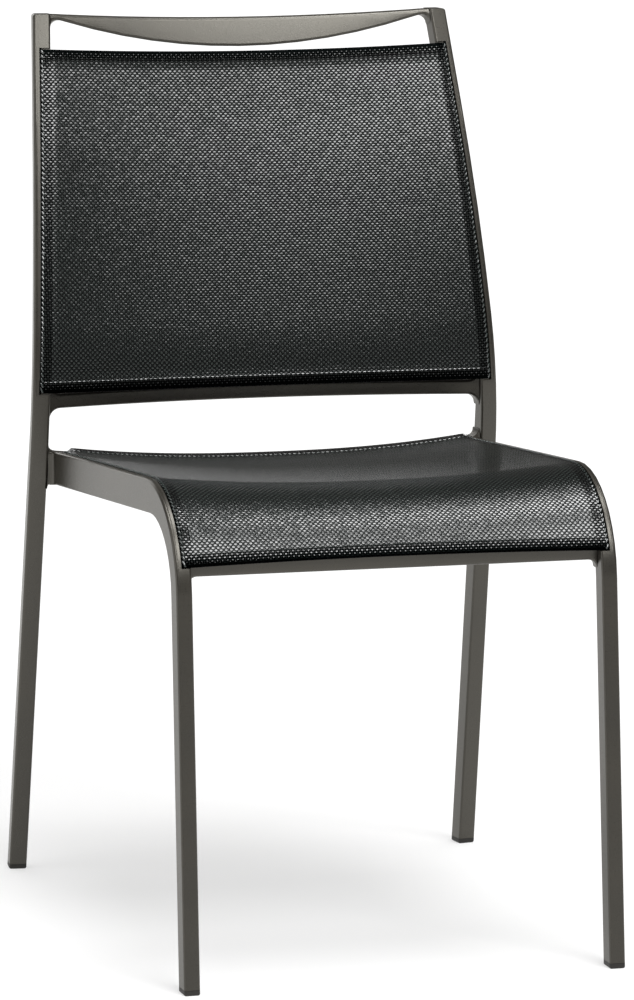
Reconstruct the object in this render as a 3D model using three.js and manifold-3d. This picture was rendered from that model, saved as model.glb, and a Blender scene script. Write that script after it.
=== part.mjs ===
// Sling patio chair: a welded frame of bent tubes that holds a woven seat and a woven back.
// Millimetres, +Z up. The chair faces -Y, and "left" is the -X side, on the left of who looks at its front.
import * as THREE from 'three';
import Module from 'manifold-3d';

const wasm = await Module();
wasm.setup();
const degrees = THREE.MathUtils.degToRad;

// Clearances and cutting
const weldGap = 0.3; // between two pieces that are welded together
const slideGap = 0.3; // between a rod, the pocket round it and the bore round that
const overrun = 3; // how far a cutter runs past a face

// Stance. Places along Y count from the middle between the front and the rear feet
const chairHeight = 870;
const feetApart = 555; // middle of a front foot to the middle of a rear foot
const frontFeetWidth = 438; // over the outer faces, on the floor
const rearFeetWidth = 498;

// Rear leg and back upright, one bent tube with its section turned into the plane of the bend
const rearTubeWidth = 17.8;
const rearFootDepth = 20;
const uprightDepth = 16.5; // reached over the first steps of the tight bend
const taperShare = 1 / 3;
const rearCorner = 2.4;
const rearLegLean = degrees(8.8); // forwards, going up
const rearBendHeight = 424;
const lumbarRadius = 390;
const lumbarLean = degrees(12.3); // backwards, at the end of the tight bend
const shoulderRadius = 1514;
const backLean = degrees(20.6); // backwards, at the top
const rearToeIn = degrees(7.6);
const rearInwardLean = degrees(1.8);

// Seat rail and front leg, one bent tube, deep under the seat and slimmer down the leg
const sideTubeWidth = 15.8;
const frontLegDepth = 21;
const railDepth = 33;
const sideCorner = 2.4;
const frontLegLean = degrees(6); // backwards, going up
const railSlope = degrees(4.6); // downwards, going back
const kneeHeight = 476; // where the leg's front face and the rail's top face would cross
const kneeOuterRadius = 106;
const kneeInnerRadius = 72;
const railFlare = 6; // the rail's outer side opens in a fillet at its rear end
const railStepIn = 24.3; // rear leg's outer face to the rail's, where the rail ends
const frontInwardLean = degrees(0.2);

// Channel for the sling edge, the same in all four tubes
const lipWidth = 6.2; // plain face outside the mouth
const mouthWidth = 2.2;
const clothSeatDepth = 1.6; // the face inside the mouth is set back so that the cloth lies flush
const boreRadius = 3.2;
const boreDepth = 5.6; // face to the middle of the bore
const grooveOffset = 3.4; // fine line along the lip, from the outer face
const grooveWidth = 0.9;
const grooveDepth = 0.5;
const backChannelBottom = 499.8;
const backChannelMargin = 32; // plain tube above the channel
const seatChannelFront = 398;
const seatChannelMargin = 6; // plain tube between the channel and the rail's rear end
const plugLength = 4;
const boreSides = 10;

// Slings
const clothThickness = 0.9;
const hemThickness = 1.7;
const hemWidth = 11;
const pocketWall = 0.3;
const edgeMargin = 2; // cloth edge to channel end
const rowPitch = 60; // longest step between two rows of a sling on a straight tube
const backSag = { start: 7, middle: 13, end: 9 }; // of mid width behind a flat sheet, bottom to top
const backShift = { start: 0, end: -2 }; // of an edge's mid width along the sheet
const seatSag = { start: 2, middle: 13, end: 8 }; // front to rear
const seatShift = { start: 5, end: 0 };

// Bars between the two sides
const handleEndHeight = 3; // before the fillets
const handleMiddleHeight = 28.8;
const handleDepth = 11;
const handleTopDip = 7;
const handleBow = 16;
const handleCorner = 3;
const handleFillet = 9; // along the front of its underside
const handleBackFillet = 15; // along the back of its underside
const uprightTopRound = 2.5; // over the outer side
const lowerRailHeight = 15;
const lowerRailDepth = 14;
const lowerRailBottom = 484.3;
const lowerRailBow = 25;
const lowerRailSetback = 2; // behind the upright's front face
const lowerRailFillet = 11;
const rearBarHeight = 30;
const rearBarDepth = 17;
const rearBarBottom = 411;
const rearBarAdvance = 1.5; // in front of the leg's front face at mid height
const rearBarDip = 12; // lower in the middle, under the sagging seat
const rearBarFillet = 8;
const frontBarHeight = 20;
const frontBarDepth = 13;
const frontBarBottom = 388;
const frontBarFillet = 8;
const frontBarSetback = 9; // behind the leg's front face
const barCorner = 3;

// Feet
const tubeWall = 1.8;
const hollowLength = 300;
const glideBase = 5;
const glideEdge = 1.2;
const glideStem = 22;
const glideStemTaper = 1;
const leastCornerShare = 1 / 4; // of a tube's corner, kept inside its wall

// Steps of the lofts
const cornerSteps = 3;
const lumbarSteps = 6;
const shoulderSteps = 4;
const kneeSteps = 10;
const filletSteps = 6;
const bowSteps = 6;
const halfColumns = 5;
const searchSteps = 40; // halvings when a length is looked for by its height

const frameColour = '#5a5145';
const clothColour = '#2a2d2f';
const plasticColour = '#2c2925';
const rodColour = '#3a3a38';

// Solids

function solidFrom(points, triangles) {
  const mesh = new wasm.Mesh({
    numProp: 3,
    vertProperties: new Float32Array(points.flatMap((p) => [p.x, p.y, p.z])),
    triVerts: new Uint32Array(triangles.flat()),
  });
  return new wasm.Manifold(mesh);
}

// Skins a row of rings that have the same even number of points, and closes both ends.
function loft(rings) {
  const count = rings[0].length;
  const triangles = [];
  const addQuad = (a, b, c, d) => triangles.push([a, b, c], [a, c, d]);
  for (let row = 0; row + 1 < rings.length; row += 1) {
    for (let k = 0; k < count; k += 1) {
      const next = (k + 1) % count;
      addQuad(row * count + k, row * count + next, (row + 1) * count + next, (row + 1) * count + k);
    }
  }
  const last = (rings.length - 1) * count;
  for (let k = 0; k + 1 < count / 2; k += 1) {
    addQuad(count - 1 - k, count - 2 - k, k + 1, k);
    addQuad(last + k, last + k + 1, last + count - 2 - k, last + count - 1 - k);
  }
  const points = rings.flat();
  return solidFrom(points, facesInwards(points, triangles) ? triangles.map((t) => t.reverse()) : triangles);
}

function facesInwards(points, triangles) {
  const product = new THREE.Vector3();
  const volume = triangles.reduce(
    (sum, [a, b, c]) => sum + product.crossVectors(points[a], points[b]).dot(points[c]), 0);
  return volume < 0;
}

function geometryOf(solid, mirrored) {
  const { vertProperties, triVerts, numProp } = solid.getMesh();
  const geometry = new THREE.BufferGeometry();
  const places = new Float32Array((vertProperties.length / numProp) * 3);
  for (let i = 0; i < places.length / 3; i += 1) {
    places[3 * i] = vertProperties[numProp * i] * (mirrored ? -1 : 1);
    places[3 * i + 1] = vertProperties[numProp * i + 1];
    places[3 * i + 2] = vertProperties[numProp * i + 2];
  }
  const index = Array.from(triVerts);
  geometry.setAttribute('position', new THREE.BufferAttribute(places, 3));
  geometry.setIndex(mirrored ? index.reverse() : index);
  geometry.computeVertexNormals();
  return geometry;
}

// Side view of a tube: an edge path is a list of runs, straight or bent. Its heading turns from straight up
// towards the back.

function alongRun(from, run, share) {
  if (run.radius) {
    const heading = from.heading + run.turn * share;
    return {
      y: from.y + run.radius * (Math.cos(from.heading) - Math.cos(heading)),
      z: from.z + run.radius * (Math.sin(heading) - Math.sin(from.heading)),
      heading,
    };
  }
  const reach = run.straight * share;
  return {
    y: from.y + reach * Math.sin(from.heading),
    z: from.z + reach * Math.cos(from.heading),
    heading: from.heading,
  };
}

function edgePath(start, runs) {
  const starts = [start];
  for (const run of runs) starts.push(alongRun(starts.at(-1), run, 1));
  return (index, share) => alongRun(starts[index], runs[index], share);
}

function runLength(run) {
  return run.radius ? run.radius * run.turn : run.straight;
}

// The upright plane that a side frame's outer face lies in. It opens by perY sideways for each unit forwards,
// and leans in.
function sidePlane(footHalfWidth, footY, perY, lean) {
  const perZ = Math.tan(lean);
  const size = Math.hypot(1, perY, perZ);
  const floorX = footHalfWidth + perY * footY;
  return {
    faceX: (y, z, inset) => floorX - inset * size - perY * y - perZ * z,
    place(y, z, inset) {
      const x = this.faceX(y, z, 0);
      return new THREE.Vector3(x - inset / size, y - (inset * perY) / size, z - (inset * perZ) / size);
    },
    direction(heading) {
      const y = Math.sin(heading);
      const z = Math.cos(heading);
      return new THREE.Vector3(-perY * y - perZ * z, y, z).normalize();
    },
  };
}

// A bent tube: its plane, its width, and where its outer and inner edges are at each length of the outer
// edge. A run with steps is bent, and the tube is flat between them, so that all it holds shares its facets.
function bentTube(plane, width, corner, runs, outerEdge, innerEdge) {
  const marks = [0];
  const stations = [stationOf(outerEdge, innerEdge, 0, 0)];
  runs.forEach((run, index) => {
    const steps = run.steps ?? 1;
    const from = marks.at(-1);
    for (let step = 1; step <= steps; step += 1) {
      marks.push(from + (runLength(run) * step) / steps);
      stations.push(stationOf(outerEdge, innerEdge, index, step / steps));
    }
  });
  const stationAt = (length) => {
    const found = marks.findIndex((mark) => mark > length);
    const next = Math.max(found < 0 ? marks.length - 1 : found, 1);
    const share = (length - marks[next - 1]) / (marks[next] - marks[next - 1]);
    return between(stations[next - 1], stations[next], share);
  };
  return { plane, width, corner, marks, length: marks.at(-1), stationAt };
}

function stationOf(outerEdge, innerEdge, index, share) {
  const { y, z, heading } = outerEdge(index, share);
  const inner = innerEdge(index, share);
  return { y, z, heading, innerY: inner.y, innerZ: inner.z };
}

function between(before, after, share) {
  const keys = Object.keys(before);
  return Object.fromEntries(keys.map((key) => [key, before[key] + (after[key] - before[key]) * share]));
}

// Where a station's point lies: across from the outer face, and into the tube from its front or top face.
function placeIn(tube, station, across, into) {
  const y = station.y + Math.cos(station.heading) * into;
  const z = station.z - Math.sin(station.heading) * into;
  return tube.plane.place(y, z, across);
}

function placeFromInner(tube, station, across, above) {
  const y = station.innerY - Math.cos(station.heading) * above;
  const z = station.innerZ + Math.sin(station.heading) * above;
  return tube.plane.place(y, z, across);
}

function tubeRing(tube, station, inset, flare = 0) {
  const radius = Math.max(tube.corner - inset, tube.corner * leastCornerShare);
  const near = inset + radius - flare;
  const far = tube.width - inset - radius;
  const ring = [];
  const quarters = [[near, Math.PI], [far, Math.PI / 2], [far, 0], [near, -Math.PI / 2]];
  quarters.forEach(([across, from], corner) => {
    for (let step = 0; step <= cornerSteps; step += 1) {
      const angle = from - (Math.PI / 2) * (step / cornerSteps);
      const a = across + radius * Math.cos(angle);
      const rise = radius * Math.sin(angle);
      ring.push(corner < 2
        ? placeIn(tube, station, a, inset + radius - rise)
        : placeFromInner(tube, station, a, inset + radius + rise));
    }
  });
  return ring;
}

// Slides a ring along the tube until it lies in the plane where one coordinate has the given value.
function slideTo(tube, station, ring, axis, value) {
  const direction = tube.plane.direction(station.heading);
  return ring.map((p) => p.clone().addScaledVector(direction, (value - p[axis]) / direction[axis]));
}

function circleRing(tube, station, radius) {
  const middle = lipWidth + mouthWidth / 2;
  return Array.from({ length: boreSides }, (_, k) => {
    const angle = (2 * Math.PI * (k + 0.5)) / boreSides;
    return placeIn(tube, station, middle + radius * Math.cos(angle), boreDepth + radius * Math.sin(angle));
  });
}

function boxRing(tube, station, acrossFrom, acrossTo, intoFrom, intoTo) {
  return [
    placeIn(tube, station, acrossFrom, intoFrom),
    placeIn(tube, station, acrossTo, intoFrom),
    placeIn(tube, station, acrossTo, intoTo),
    placeIn(tube, station, acrossFrom, intoTo),
  ];
}

// Lengths from one end to the other, with every facet's edge between them.
function lengthsBetween(tube, from, to) {
  return [from, ...tube.marks.filter((mark) => mark > from && mark < to), to];
}

function sweep(tube, lengths, ringOf) {
  return loft(lengths.map((length) => ringOf(tube.stationAt(length))));
}

// The length of the outer edge at which it first reaches a height.
function lengthAtHeight(tube, height) {
  let low = 0;
  let high = tube.length;
  for (let halving = 0; halving < searchSteps; halving += 1) {
    const middle = (low + high) / 2;
    if (tube.stationAt(middle).z < height) low = middle;
    else high = middle;
  }
  return low;
}

// Rear leg with its upright

function makeRearTube() {
  const halfDepth = rearFootDepth / 2 / Math.cos(rearLegLean);
  const footY = feetApart / 2 - halfDepth;
  const start = { y: footY, z: 0, heading: -rearLegLean };
  const runs = [
    { straight: rearBendHeight / Math.cos(rearLegLean) },
    { radius: lumbarRadius, turn: rearLegLean + lumbarLean, steps: lumbarSteps },
    { radius: shoulderRadius, turn: backLean - lumbarLean, steps: shoulderSteps },
  ];
  const outerEdge = edgePath(start, runs);
  const shoulder = outerEdge(2, 1);
  runs.push({ straight: (chairHeight - shoulder.z) / Math.cos(backLean) });
  const wholeEdge = edgePath(start, runs);
  const depthAt = (index, share) => {
    if (index === 0) return rearFootDepth;
    if (index === 1) return rearFootDepth + (uprightDepth - rearFootDepth) * Math.min(share / taperShare, 1);
    return uprightDepth;
  };
  const innerEdge = (index, share) => {
    const { y, z, heading } = wholeEdge(index, share);
    const depth = depthAt(index, share);
    return { y: y + Math.cos(heading) * depth, z: z - Math.sin(heading) * depth };
  };
  const plane = sidePlane(rearFeetWidth / 2, feetApart / 2, Math.tan(rearToeIn), rearInwardLean);
  return bentTube(plane, rearTubeWidth, rearCorner, runs, wholeEdge, innerEdge);
}

// Seat rail with its front leg: both edges run up the leg, round the knee and back along the rail

function corneredEdge(start, corner, heading, turn, radius, endY) {
  const trim = radius * Math.tan(turn / 2);
  const legLength = Math.hypot(corner.y - start.y, corner.z - start.z) - trim;
  const runs = [{ straight: legLength }, { radius, turn, steps: kneeSteps }];
  const knee = edgePath({ ...start, heading }, runs)(1, 1);
  runs.push({ straight: (endY - knee.y) / Math.sin(knee.heading) });
  return { runs, edge: edgePath({ ...start, heading }, runs) };
}

function makeSideTube(plane, railEndY) {
  const railHeading = Math.PI / 2 + railSlope;
  const turn = railHeading - frontLegLean;
  const halfDepth = frontLegDepth / 2 / Math.cos(frontLegLean);
  const outerStart = { y: -feetApart / 2 - halfDepth, z: 0 };
  const innerStart = { y: -feetApart / 2 + halfDepth, z: 0 };
  const corner = { y: outerStart.y + kneeHeight * Math.tan(frontLegLean), z: kneeHeight };
  const alongLeg = (railDepth - frontLegDepth * Math.cos(turn)) / Math.sin(turn);
  const inner = {
    y: corner.y + frontLegDepth * Math.cos(frontLegLean) - alongLeg * Math.sin(frontLegLean),
    z: corner.z - frontLegDepth * Math.sin(frontLegLean) - alongLeg * Math.cos(frontLegLean),
  };
  const outerPath = corneredEdge(outerStart, corner, frontLegLean, turn, kneeOuterRadius, railEndY);
  const innerPath = corneredEdge(innerStart, inner, frontLegLean, turn, kneeInnerRadius, railEndY);
  return bentTube(plane, sideTubeWidth, sideCorner, outerPath.runs, outerPath.edge, innerPath.edge);
}

// The plane of the rail and its leg: from the front foot to a step inside the rear leg's outer face.
function makeRailPlane(rearTube, railEndY) {
  const height = rearBarBottom + rearBarHeight / 2;
  const footY = -feetApart / 2;
  const frontX = frontFeetWidth / 2 - Math.tan(frontInwardLean) * height;
  const rearX = rearTube.plane.faceX(railEndY, height, 0) - railStepIn;
  return sidePlane(frontFeetWidth / 2, footY, (rearX - frontX) / (footY - railEndY), frontInwardLean);
}

// Channel and the pieces in it

function cutChannel(solid, tube, channel) {
  const middle = lipWidth + mouthWidth / 2;
  const lengths = lengthsBetween(tube, channel.from, channel.to);
  const plugged = plugLength + slideGap;
  const boreLengths = lengthsBetween(tube, channel.from - plugged, channel.to + plugged);
  const cutters = [
    sweep(tube, boreLengths, (station) => circleRing(tube, station, boreRadius)),
    sweep(tube, lengths, (station) => boxRing(
      tube, station, lipWidth, lipWidth + mouthWidth, -overrun, boreDepth)),
    sweep(tube, lengths, (station) => boxRing(
      tube, station, middle, tube.width + overrun, -overrun, clothSeatDepth)),
    sweep(tube, lengths, (station) => grooveRing(tube, station)),
  ];
  return cutters.reduce((left, cutter) => left.subtract(cutter), solid);
}

function grooveRing(tube, station) {
  const half = grooveWidth / 2;
  return [
    placeIn(tube, station, grooveOffset - half, -overrun),
    placeIn(tube, station, grooveOffset + half, -overrun),
    placeIn(tube, station, grooveOffset + half / 2, grooveDepth),
    placeIn(tube, station, grooveOffset - half / 2, grooveDepth),
  ];
}

function makeRod(tube, channel) {
  const radius = boreRadius - pocketWall - 2 * slideGap;
  const lengths = lengthsBetween(tube, channel.from + edgeMargin, channel.to - edgeMargin);
  return sweep(tube, lengths, (station) => circleRing(tube, station, radius));
}

function makePlug(tube, from) {
  const radius = boreRadius - slideGap;
  return sweep(tube, [from, from + plugLength], (station) => circleRing(tube, station, radius));
}

// Slings. A row of a sling is two lists of points, on its face and on its back, from the right edge to the
// left edge.

function edgeColumns(tube, station, thickness) {
  const middle = lipWidth + mouthWidth / 2;
  const half = clothThickness / 2 + pocketWall / 2;
  const under = clothSeatDepth - slideGap;
  const pairs = [
    [[middle - half, boreDepth - boreRadius + 2 * half], [middle + half, boreDepth - boreRadius + 2 * half]],
    [[middle - half, under], [middle + half, clothSeatDepth]],
    [[middle, under - thickness], [middle + 2 * half, under]],
    [[tube.width, under - thickness], [tube.width, under]],
  ];
  return pairs.map((pair) => pair.map(([across, into]) => placeIn(tube, station, across, into)));
}

// Points between the tube and the middle of the sling, let down or back by the sag at each.
function innerColumns(edgePair, heading, sag) {
  const down = new THREE.Vector3(0, Math.cos(heading), -Math.sin(heading));
  return Array.from({ length: halfColumns }, (_, k) => {
    const share = 1 - (k + 1) / halfColumns;
    return edgePair.map((p) => {
      const point = p.clone().addScaledVector(down, sag * (1 - share * share));
      point.x = p.x * share;
      return point;
    });
  });
}

// One row of a sling as a ring. The shift moves its mid width along the sheet.
function slingRing(tube, station, thickness, sag, shift) {
  const edge = edgeColumns(tube, station, thickness);
  const half = [...edge, ...innerColumns(edge.at(-1), station.heading, sag)];
  const along = new THREE.Vector3(0, Math.sin(station.heading), Math.cos(station.heading));
  const halfWidth = edge.at(-1)[0].x;
  const right = half.map((pair) => pair.map((p) => {
    const share = Math.min(p.x / halfWidth, 1);
    return p.clone().addScaledVector(along, shift * (1 - share * share));
  }));
  const left = right.slice(0, -1).reverse().map((pair) => pair.map((p) => new THREE.Vector3(-p.x, p.y, p.z)));
  const columns = [...right, ...left];
  return [...columns.map((pair) => pair[0]), ...columns.reverse().map((pair) => pair[1])];
}

// Lengths of the rows of a sling, with a short step in thickness where each hem ends.
function slingRows(tube, from, to) {
  const plainFrom = from + hemWidth + clothThickness;
  const plainTo = to - hemWidth - clothThickness;
  const plain = lengthsBetween(tube, plainFrom, plainTo).flatMap((length, k, all) => {
    const gap = k ? length - all[k - 1] : 0;
    const steps = Math.max(Math.ceil(gap / rowPitch), 1);
    return Array.from({ length: steps }, (_, step) => length - (gap * (steps - 1 - step)) / steps);
  });
  const rowsOf = (lengths, thickness) => lengths.map((length) => ({ length, thickness }));
  return [
    ...rowsOf(lengthsBetween(tube, from, from + hemWidth), hemThickness),
    ...rowsOf(plain, clothThickness),
    ...rowsOf(lengthsBetween(tube, to - hemWidth, to), hemThickness),
  ];
}

// A curve over the sheet's length through its values at the start, the middle and the end.
function alongSheet({ start, middle, end }, share) {
  return start * (1 - share) + end * share + 4 * (middle - (start + end) / 2) * share * (1 - share);
}

function makeSling(tube, channel, sag, shift) {
  const from = channel.from + edgeMargin;
  const to = channel.to - edgeMargin;
  const sheet = loft(slingRows(tube, from, to).map(({ length, thickness }) => {
    const share = (length - from) / (to - from);
    const edgeShift = share < 1 / 2 ? shift.start * (1 - 2 * share) : shift.end * (2 * share - 1);
    return slingRing(tube, tube.stationAt(length), thickness, alongSheet(sag, share), edgeShift);
  }));
  const outer = boreRadius - slideGap;
  const pocket = sweep(tube, lengthsBetween(tube, from, to), (station) => circleRing(tube, station, outer));
  const hole = sweep(tube, lengthsBetween(tube, from - overrun, to + overrun),
    (station) => circleRing(tube, station, outer - pocketWall));
  const whole = sheet.add(pocket).add(mirrored(pocket));
  return whole.subtract(hole).subtract(mirrored(hole));
}

function mirrored(solid) {
  return solid.mirror([1, 0, 0]);
}

// Bars from side to side. A bar's section is a rounded box in the YZ plane with a level top. Its front and
// back may lean, and its underside may drop towards the back. Its ends lie on the tubes' inner faces.

function barRing(section, tube, atEnd, share) {
  const { y, z, lean, height, depth, corner, backDrop } = section;
  const ring = [];
  const radius = Math.min(corner, height / 2 - weldGap, depth / 2 - weldGap);
  const quarters = [[1, 1], [-1, 1], [-1, -1], [1, -1]];
  quarters.forEach(([back, up], quarter) => {
    for (let step = 0; step <= cornerSteps; step += 1) {
      const angle = (Math.PI / 2) * (quarter + step / cornerSteps);
      const outBack = back * (depth / 2 - radius) + radius * Math.cos(angle);
      const outUp = up * (height / 2 - radius) + radius * Math.sin(angle);
      const drop = up < 0 ? backDrop * (outBack / depth + 1 / 2) : 0;
      const pointY = y + outBack + outUp * Math.tan(lean);
      const pointZ = z + outUp - drop;
      const endX = tube.plane.faceX(pointY, pointZ, tube.width) - weldGap;
      ring.push(new THREE.Vector3(atEnd ? endX : endX * share, pointY, pointZ));
    }
  });
  return ring;
}

// Shares of the half length, close together where the fillet at the end turns.
function barShares(halfLength, fillet, steps) {
  const filletShare = fillet / halfLength;
  const shares = [];
  for (let step = 0; step < steps; step += 1) shares.push(((1 - filletShare) * step) / steps);
  for (let step = 0; step <= filletSteps; step += 1) {
    shares.push(1 - filletShare * (1 - Math.sin((Math.PI / 2) * (step / filletSteps))));
  }
  return shares;
}

// How far a round fillet of the given radius has opened at a distance from the face it meets.
function filletGrowth(distance, radius) {
  const short = Math.min(Math.max(radius - distance, 0), radius);
  return radius - Math.sqrt(radius * radius - short * short);
}

function makeBar(tube, fillet, steps, sectionAt) {
  const { y, z } = sectionAt(1, () => 0);
  const halfLength = tube.plane.faceX(y, z, tube.width) - weldGap;
  const half = barShares(halfLength, fillet, steps);
  const rings = half.map((share) => {
    const growthOf = (radius) => filletGrowth(halfLength * (1 - share), radius);
    return barRing(sectionAt(share, growthOf), tube, share === 1, share);
  });
  const other = rings.slice(1).reverse().map((ring) => ring.map((p) => new THREE.Vector3(-p.x, p.y, p.z)));
  return loft([...other, ...rings]);
}

// The crescent across the top, which is also the handle: dipped along the top, deep in the middle and bowed
// back. At its ends its top and its front face are flush with the uprights.
function makeHandle(tube) {
  const top = tube.stationAt(tube.length);
  const slope = Math.tan(backLean);
  const depth = handleDepth / Math.cos(backLean);
  return makeBar(tube, handleBackFillet, bowSteps, (share, growthOf) => {
    const fold = 1 - share * share;
    const topZ = chairHeight - handleTopDip * fold;
    const growth = growthOf(handleFillet);
    const height = handleEndHeight + (handleMiddleHeight - handleEndHeight) * fold + growth;
    const faceY = top.y + (topZ - chairHeight) * slope + handleBow * fold;
    return {
      y: faceY + (depth - height * slope) / 2,
      z: topZ - height / 2,
      lean: backLean,
      height,
      depth,
      corner: handleCorner,
      backDrop: growthOf(handleBackFillet) - growth,
    };
  });
}

// A bar whose middle may be bowed back and dipped, and that opens above and below in its end fillets.
function makeLevelBar(tube, fillet, steps, { height, depth, bottom, frontY, bow, dip }) {
  return makeBar(tube, fillet, steps, (share, growthOf) => ({
    y: frontY + depth / 2 + bow * (1 - share * share),
    z: bottom + height / 2 - dip * (1 - share * share),
    lean: 0,
    height: height + 2 * growthOf(fillet),
    depth,
    corner: barCorner,
    backDrop: 0,
  }));
}

// Feet

function makeHollow(tube) {
  const station = tube.stationAt(0);
  const ring = tubeRing(tube, station, tubeWall);
  return loft([slideTo(tube, station, ring, 'z', -overrun), slideTo(tube, station, ring, 'z', hollowLength)]);
}

function makeGlide(tube) {
  const station = tube.stationAt(0);
  const ringAt = (inset, height) => slideTo(tube, station, tubeRing(tube, station, inset), 'z', height);
  const base = loft([ringAt(glideEdge, 0), ringAt(0, glideEdge), ringAt(0, glideBase)]);
  const fit = tubeWall + slideGap;
  const stemTop = glideBase + glideStem;
  const stem = loft([ringAt(fit, glideBase - glideEdge), ringAt(fit, stemTop - glideStemTaper),
    ringAt(fit + glideStemTaper, stemTop)]);
  return base.add(stem);
}

// Whole tubes

// Skins a tube from its foot, cut level above the glide, to the rings at its other end.
function tubeSolid(tube, endRings) {
  const rings = tube.marks.map((mark) => tubeRing(tube, tube.stationAt(mark), 0));
  rings[0] = slideTo(tube, tube.stationAt(0), rings[0], 'z', glideBase + weldGap);
  return loft([...rings.slice(0, -1), ...endRings]);
}

function makeRearLeg(tube, channel) {
  const top = filletedEnd(tube, uprightTopRound, -1, 'z', chairHeight);
  return cutChannel(tubeSolid(tube, top).subtract(makeHollow(tube)), tube, channel);
}

function makeSeatRail(tube, channel, endY) {
  const station = tube.stationAt(tube.length);
  const end = slideTo(tube, station, tubeRing(tube, station, 0), 'y', endY);
  const flare = loft(filletedEnd(tube, railFlare, 1, 'y', endY));
  return cutChannel(tubeSolid(tube, [end]).add(flare).subtract(makeHollow(tube)), tube, channel);
}

// Rings over a tube's last stretch, where its outer side opens in a fillet or, with side -1, rounds inwards.
function filletedEnd(tube, radius, side, axis, endPlace) {
  return Array.from({ length: filletSteps + 1 }, (_, step) => {
    const distance = radius * (1 - Math.sin((Math.PI / 2) * (step / filletSteps)));
    const station = tube.stationAt(tube.length - distance);
    const ring = tubeRing(tube, station, 0, side * filletGrowth(distance, radius));
    return slideTo(tube, station, ring, axis, endPlace - distance);
  });
}

// The chair

const rearTube = makeRearTube();
const rearBarMiddle = lengthAtHeight(rearTube, rearBarBottom + rearBarHeight / 2);
const rearBarFront = rearTube.stationAt(rearBarMiddle).y - rearBarAdvance;
const railEnd = rearBarFront - weldGap;
const sideTube = makeSideTube(makeRailPlane(rearTube, railEnd), railEnd);
const backChannel = {
  from: lengthAtHeight(rearTube, backChannelBottom),
  to: lengthAtHeight(rearTube, chairHeight - backChannelMargin),
};
const seatChannel = {
  from: lengthAtHeight(sideTube, seatChannelFront),
  to: sideTube.length - seatChannelMargin,
};
const lowerRailFront = rearTube.stationAt(backChannel.from).y + lowerRailSetback;
const frontBarFront = sideTube.stationAt(seatChannel.from).y + frontBarSetback;

const chair = new THREE.Group();
const body = new THREE.Group();
chair.add(body);

const frameLook = { color: frameColour, roughness: 0.42, metalness: 0.35 };
const handleLook = { color: frameColour, roughness: 0.36, metalness: 0.35 };
const clothLook = { color: clothColour, roughness: 0.5, metalness: 0 };
const plasticLook = { color: plasticColour, roughness: 0.6, metalness: 0 };
const rodLook = { color: rodColour, roughness: 0.6, metalness: 0 };

function addMesh(name, solid, look, mirror = false) {
  const mesh = new THREE.Mesh(geometryOf(solid, mirror), new THREE.MeshStandardMaterial(look));
  mesh.name = name;
  body.add(mesh);
}

function addPair(name, solid, look) {
  addMesh(`${name}_right`, solid, look);
  addMesh(`${name}_left`, solid, look, true);
}

addPair('rear_leg', makeRearLeg(rearTube, backChannel), frameLook);
addPair('seat_rail', makeSeatRail(sideTube, seatChannel, railEnd), frameLook);
addMesh('top_handle_rail', makeHandle(rearTube), handleLook);
addMesh('lower_back_rail', makeLevelBar(rearTube, lowerRailFillet, bowSteps, {
  height: lowerRailHeight, depth: lowerRailDepth, bottom: lowerRailBottom, frontY: lowerRailFront,
  bow: lowerRailBow, dip: 0,
}), frameLook);
addMesh('rear_seat_rail', makeLevelBar(rearTube, rearBarFillet, bowSteps, {
  height: rearBarHeight, depth: rearBarDepth, bottom: rearBarBottom, frontY: rearBarFront,
  bow: 0, dip: rearBarDip,
}), frameLook);
addMesh('front_seat_rail', makeLevelBar(sideTube, frontBarFillet, 1, {
  height: frontBarHeight, depth: frontBarDepth, bottom: frontBarBottom, frontY: frontBarFront,
  bow: 0, dip: 0,
}), frameLook);
addMesh('back_sling', makeSling(rearTube, backChannel, backSag, backShift), clothLook);
addMesh('seat_sling', makeSling(sideTube, seatChannel, seatSag, seatShift), clothLook);
addPair('back_keder_rod', makeRod(rearTube, backChannel), rodLook);
addPair('seat_keder_rod', makeRod(sideTube, seatChannel), rodLook);
addPair('back_bottom_stop', makePlug(rearTube, backChannel.from - plugLength), plasticLook);
addPair('back_top_stop', makePlug(rearTube, backChannel.to), plasticLook);
addPair('seat_front_stop', makePlug(sideTube, seatChannel.from - plugLength), plasticLook);
addPair('seat_rear_stop', makePlug(sideTube, seatChannel.to), plasticLook);
addPair('rear_foot_glide', makeGlide(rearTube), plasticLook);
addPair('front_foot_glide', makeGlide(sideTube), plasticLook);

// The origin is on the floor, under the middle of the chair's own box
const reach = new THREE.Box3().setFromObject(body);
body.position.y = -(reach.min.y + reach.max.y) / 2;
chair.updateMatrixWorld(true);

export default chair;
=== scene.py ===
import math
import random

import bmesh
import bpy
from mathutils import Matrix, Vector


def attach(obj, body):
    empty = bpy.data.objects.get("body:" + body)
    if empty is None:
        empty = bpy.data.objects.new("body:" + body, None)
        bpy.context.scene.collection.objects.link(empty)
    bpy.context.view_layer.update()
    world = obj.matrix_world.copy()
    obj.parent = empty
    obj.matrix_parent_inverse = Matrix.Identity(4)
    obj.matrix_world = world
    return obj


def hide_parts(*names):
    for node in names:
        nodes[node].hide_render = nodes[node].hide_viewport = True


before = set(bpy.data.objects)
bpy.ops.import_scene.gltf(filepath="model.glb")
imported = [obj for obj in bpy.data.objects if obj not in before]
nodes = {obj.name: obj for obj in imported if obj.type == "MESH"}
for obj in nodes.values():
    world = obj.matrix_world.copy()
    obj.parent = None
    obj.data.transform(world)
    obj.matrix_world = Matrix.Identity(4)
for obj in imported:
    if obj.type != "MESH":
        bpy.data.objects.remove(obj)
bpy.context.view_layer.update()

mm = 0.001  # sizes below are in millimetres and angles in degrees, and Blender works in metres
noiseSpan = {1: 0.3, 2: 0.7}  # from least to most of what a noise gives, for a Map Range


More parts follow.
